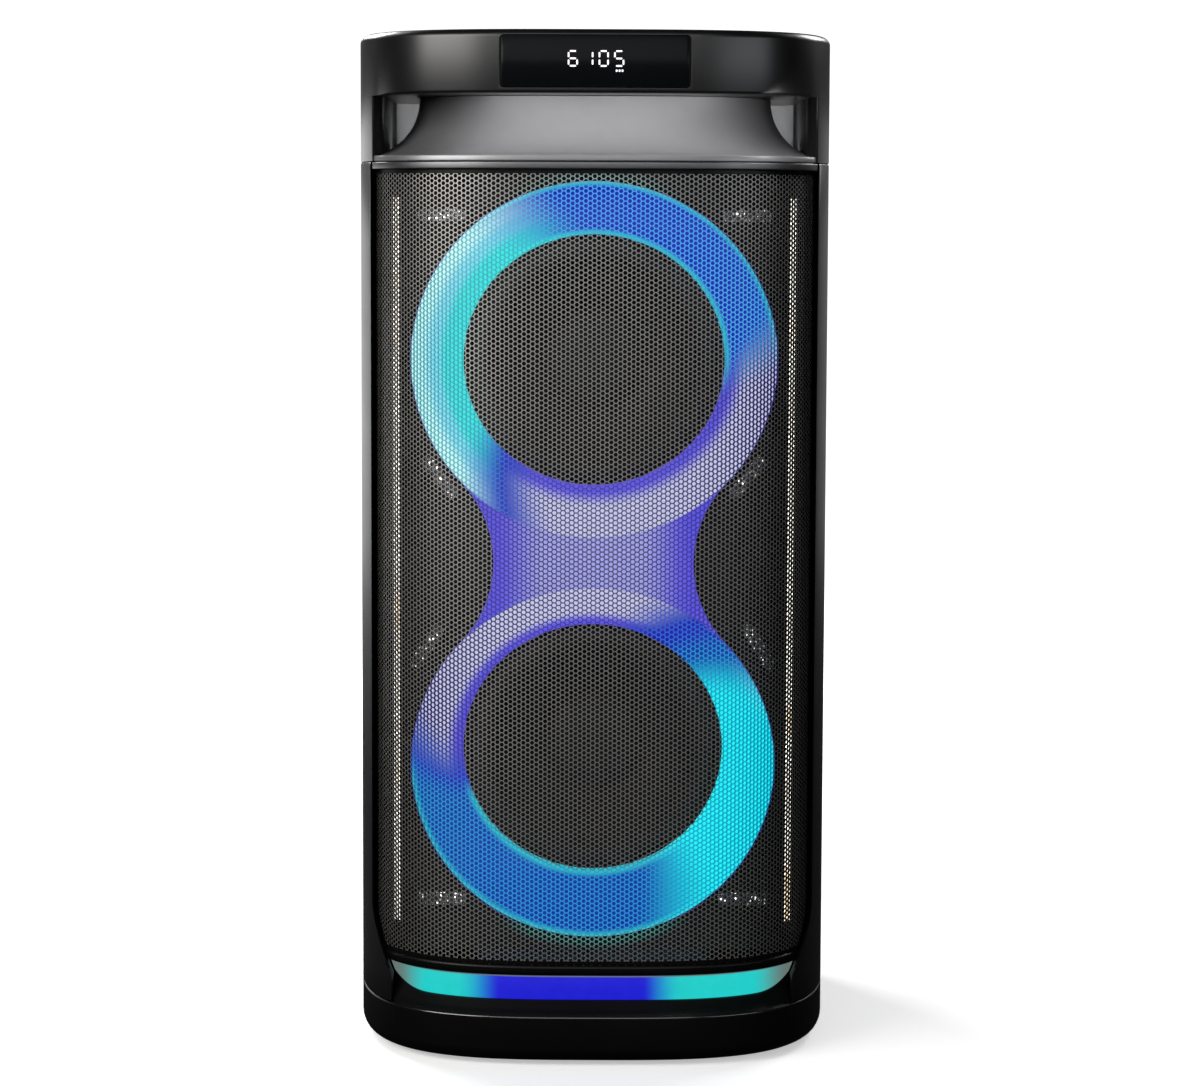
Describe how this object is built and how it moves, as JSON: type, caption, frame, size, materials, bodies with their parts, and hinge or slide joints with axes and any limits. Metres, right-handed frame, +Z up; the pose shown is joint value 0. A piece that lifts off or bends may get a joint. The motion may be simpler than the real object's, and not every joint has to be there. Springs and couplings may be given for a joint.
{
  "type": "party speaker",
  "caption": "Tall rounded party speaker with perforated grille, figure-of-eight light ring over two woofers, base light bar, display band and grip recess.",
  "frame": {"origin": "centre of the bounding box at floor level, between the feet", "axes": "+Z up, -Y out of the front grille, +X to the right seen from the front"},
  "size_m": [0.326, 0.34, 0.693],
  "materials": {
    "board_wood": "painted fibreboard",
    "circuit_board": "solder mask",
    "cone_paper": "pressed cone",
    "ferrite": "ferrite and plates",
    "gloss_black": "high gloss",
    "grille_black": "powder coated",
    "matt_black": "matt",
    "milky_diffuser": "translucent, lit from behind",
    "pale_plastic": "wrapped cells",
    "rubber": "matt",
    "satin_black": "fine satin texture",
    "smoked_window": "smoked and polished",
    "steel": "plated",
    "strobe_lens": "clear lens over light points"
  },
  "bodies": {
    "cabinet": {"amplifier_board": "circuit_board", "base_light_bar": "milky_diffuser", "base_shell": "satin_black", "bass_port": "satin_black", "battery_pack": "pale_plastic", "cabinet_shell": "satin_black", "control_board": "circuit_board", "control_panel": "satin_black", "display_module": "matt_black", "display_window": "smoked_window", "encoder_body": "steel", "foot_front_left": "rubber", "foot_front_right": "rubber", "foot_rear_left": "rubber", "foot_rear_right": "rubber", "front_baffle": "board_wood", "grille": "grille_black", "grille_bottom_trim": "satin_black", "grille_top_trim": "gloss_black", "line_jack": "matt_black", "lower_basket": "matt_black", "lower_magnet": "ferrite", "lower_surround": "rubber", "mains_inlet": "matt_black", "microphone_jack_left": "matt_black", "microphone_jack_right": "matt_black", "neck_shroud": "gloss_black", "rear_panel": "satin_black", "ring_diffuser": "milky_diffuser", "ring_led_board": "circuit_board", "side_light_left": "milky_diffuser", "side_light_right": "milky_diffuser", "strobe_bottom_left": "strobe_lens", "strobe_bottom_right": "strobe_lens", "strobe_lower_left": "strobe_lens", "strobe_lower_right": "strobe_lens", "strobe_top_left": "strobe_lens", "strobe_top_right": "strobe_lens", "strobe_upper_left": "strobe_lens", "strobe_upper_right": "strobe_lens", "switch_bezel": "matt_black", "top_housing": "gloss_black", "upper_basket": "matt_black", "upper_magnet": "ferrite", "upper_surround": "rubber", "usb_port": "steel"},
    "upper_cone": {"upper_cone": "cone_paper", "upper_dust_cap": "cone_paper"},
    "lower_cone": {"lower_cone": "cone_paper", "lower_dust_cap": "cone_paper"},
    "volume_knob": {"volume_knob": "gloss_black", "knob_shaft": "steel"},
    "power_rocker": {"power_rocker": "gloss_black"},
    "power_button": {"power_button": "satin_black"},
    "mode_button": {"mode_button": "satin_black"},
    "light_button": {"light_button": "satin_black"},
    "previous_button": {"previous_button": "satin_black"},
    "play_button": {"play_button": "satin_black"},
    "next_button": {"next_button": "satin_black"}
  },
  "joints": [
    {"name": "upper_cone_slide", "type": "slide", "parent": "cabinet", "child": "upper_cone", "axis": [0, -1, 0], "range_m": [-0.005, 0.005], "stiffness_N_per_m": 2000},
    {"name": "lower_cone_slide", "type": "slide", "parent": "cabinet", "child": "lower_cone", "axis": [0, -1, 0], "range_m": [-0.005, 0.005], "stiffness_N_per_m": 2000},
    {"name": "power_button_press", "type": "slide", "parent": "cabinet", "child": "power_button", "axis": [0, 0, -1], "range_m": [0, 0.0015], "stiffness_N_per_m": 900},
    {"name": "mode_button_press", "type": "slide", "parent": "cabinet", "child": "mode_button", "axis": [0, 0, -1], "range_m": [0, 0.0015], "stiffness_N_per_m": 900},
    {"name": "light_button_press", "type": "slide", "parent": "cabinet", "child": "light_button", "axis": [0, 0, -1], "range_m": [0, 0.0015], "stiffness_N_per_m": 900},
    {"name": "previous_button_press", "type": "slide", "parent": "cabinet", "child": "previous_button", "axis": [0, 0, -1], "range_m": [0, 0.0015], "stiffness_N_per_m": 900},
    {"name": "play_button_press", "type": "slide", "parent": "cabinet", "child": "play_button", "axis": [0, 0, -1], "range_m": [0, 0.0015], "stiffness_N_per_m": 900},
    {"name": "next_button_press", "type": "slide", "parent": "cabinet", "child": "next_button", "axis": [0, 0, -1], "range_m": [0, 0.0015], "stiffness_N_per_m": 900},
    {"name": "volume_knob_turn", "type": "hinge", "parent": "cabinet", "child": "volume_knob", "pos_m": [0, -0.044, 0.687], "axis": [0, 0, 1], "continuous": true},
    {"name": "power_rocker_tilt", "type": "hinge", "parent": "cabinet", "child": "power_rocker", "pos_m": [0.025, 0.1634, 0.405], "axis": [1, 0, 0], "range_deg": [0, 14]}
  ]
}
